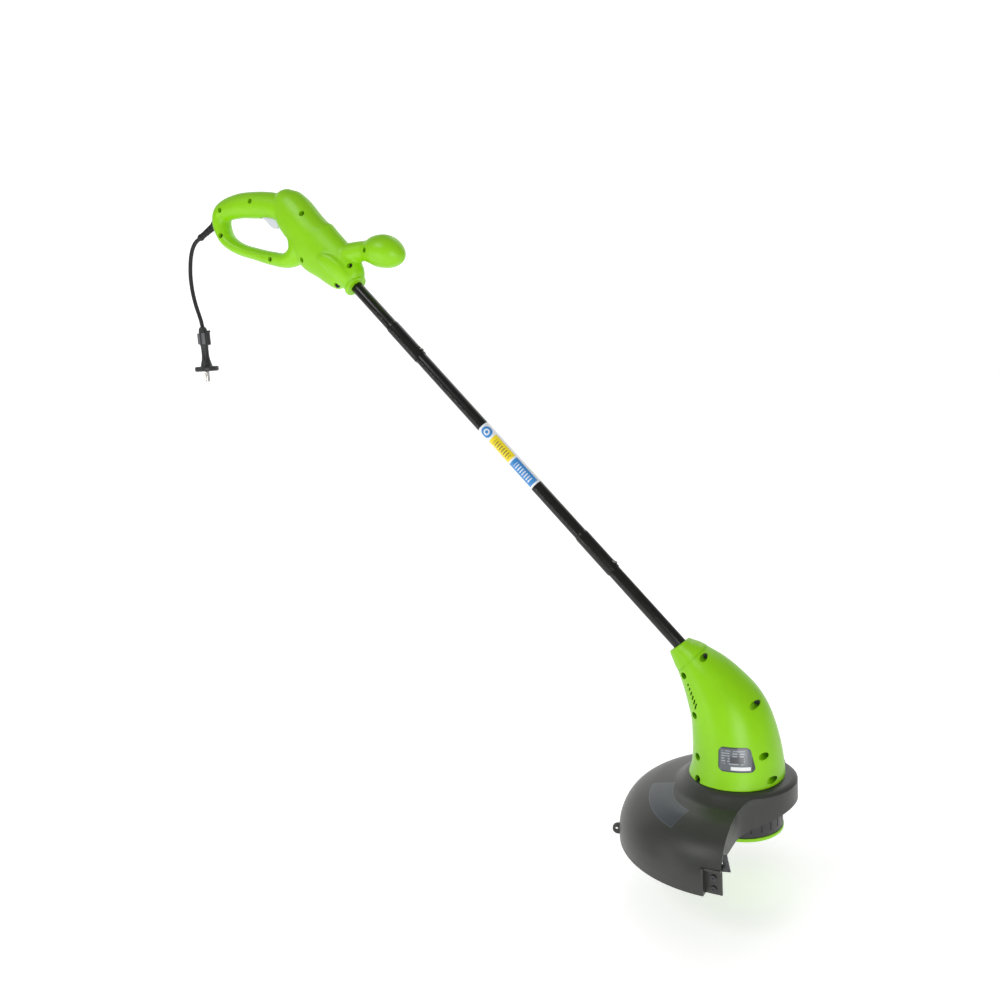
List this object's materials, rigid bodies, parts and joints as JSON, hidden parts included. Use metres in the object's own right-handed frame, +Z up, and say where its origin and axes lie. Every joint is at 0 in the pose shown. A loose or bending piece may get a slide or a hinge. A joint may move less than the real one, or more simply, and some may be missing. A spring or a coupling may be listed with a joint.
{
  "type": "string trimmer",
  "caption": "Corded string trimmer with a closed rear handle, a front knob, a three-piece tube shaft, a bottom-mounted motor head and a guard with a line cutter.",
  "frame": {"origin": "middle of the rear grip, where the working hand closes", "axes": "+X from the rear grip to the cutting head, +Z up with the spool axis upright, Y across on the symmetry plane; the operator faces +X and the right side is -Y"},
  "size_m": [0.969, 0.3176, 0.909],
  "materials": {
    "lime_plastic": "satin",
    "guard_plastic": "satin",
    "black_plastic": "satin",
    "grey_plastic": "satin",
    "black_paint": "gloss",
    "steel": "satin",
    "copper": "satin",
    "brass": "satin",
    "black_rubber": "matte",
    "plug_plastic": "satin",
    "label_film": "gloss",
    "carbon": "matte",
    "lead_insulation": "satin",
    "trimmer_line": "gloss"
  },
  "bodies": {
    "root": {"handle_shell_right": "lime_plastic", "handle_shell_left": "lime_plastic", "handle_screws": "steel", "trigger_pin": "steel", "switch_body": "black_plastic", "capacitor": "grey_plastic", "switch_leads": "lead_insulation", "shaft_leads": "lead_insulation", "cord_gland": "black_rubber", "cord_tail": "black_rubber", "cord_clamp": "black_plastic", "cord_clamp_screws": "steel", "power_cord": "black_rubber", "plug_body": "plug_plastic", "plug_clip": "black_plastic", "plug_pins": "brass", "upper_tube": "black_paint", "middle_tube": "black_paint", "lower_tube": "black_paint", "snap_spring_upper": "steel", "snap_spring_lower": "steel", "shaft_label": "label_film", "shaft_cable": "black_rubber", "motor_housing_right": "lime_plastic", "motor_housing_left": "lime_plastic", "housing_screws": "steel", "rating_plate": "label_film", "motor_mount": "black_plastic", "stator_core": "steel", "field_coils": "copper", "upper_bearing": "steel", "lower_bearing": "steel", "brush_bridge": "black_plastic", "brush_holders": "brass", "carbon_brushes": "carbon", "brush_springs": "steel", "motor_leads": "lead_insulation", "guard": "guard_plastic", "guard_screws": "steel", "line_blade": "steel", "blade_screws": "steel"},
    "trigger": {"trigger": "grey_plastic", "trigger_spring": "steel"},
    "switch_plunger": {"switch_plunger": "grey_plastic"},
    "snap_button_upper": {"snap_button_upper": "black_paint"},
    "snap_button_lower": {"snap_button_lower": "black_paint"},
    "rotor": {"motor_shaft": "steel", "armature_core": "steel", "armature_windings": "copper", "commutator": "copper", "cooling_fan": "black_plastic", "spool_housing": "black_plastic", "spool_cap": "lime_plastic", "line_eyelet": "steel", "spool_spring": "steel"},
    "spool": {"spool": "grey_plastic", "line_winding": "trimmer_line"},
    "feed_lever": {"feed_lever": "lime_plastic"}
  },
  "joints": [
    {"name": "trigger_pull", "type": "hinge", "parent": "root", "child": "trigger", "pos_m": [0.02, 0, -0.012], "axis": [0, -1, 0], "range_deg": [0, 7], "stiffness_Nm_per_rad": 0.6, "springref_deg": -14.32, "deforming": ["trigger_spring"]},
    {"name": "plunger_press", "type": "slide", "parent": "root", "child": "switch_plunger", "axis": [0, 0, 1], "range_m": [0, 0.0035]},
    {"name": "snap_button_upper_press", "type": "slide", "parent": "root", "child": "snap_button_upper", "axis": [-0.7193, 0, -0.6947], "range_m": [0, 0.004], "stiffness_N_per_m": 1500, "springref_m": -0.002, "deforming": ["snap_spring_upper"]},
    {"name": "snap_button_lower_press", "type": "slide", "parent": "root", "child": "snap_button_lower", "axis": [-0.7193, 0, -0.6947], "range_m": [0, 0.004], "stiffness_N_per_m": 1500, "springref_m": -0.002, "deforming": ["snap_spring_lower"]},
    {"name": "head_spin", "type": "hinge", "parent": "root", "child": "rotor", "pos_m": [0.75002, 0, -0.84803], "axis": [0, 0, 1], "continuous": true},
    {"name": "spool_turn", "type": "hinge", "parent": "rotor", "child": "spool", "pos_m": [0.75002, 0, -0.85103], "axis": [0, 0, 1], "continuous": true},
    {"name": "feed_lever_slide", "type": "slide", "parent": "rotor", "child": "feed_lever", "axis": [1, 0, 0], "range_m": [0, 0.003], "stiffness_N_per_m": 200, "springref_m": -0.003}
  ],
  "couplings": [
    {"joint": "plunger_press", "follows": "trigger_pull", "m_per_rad": 0.026}
  ]
}
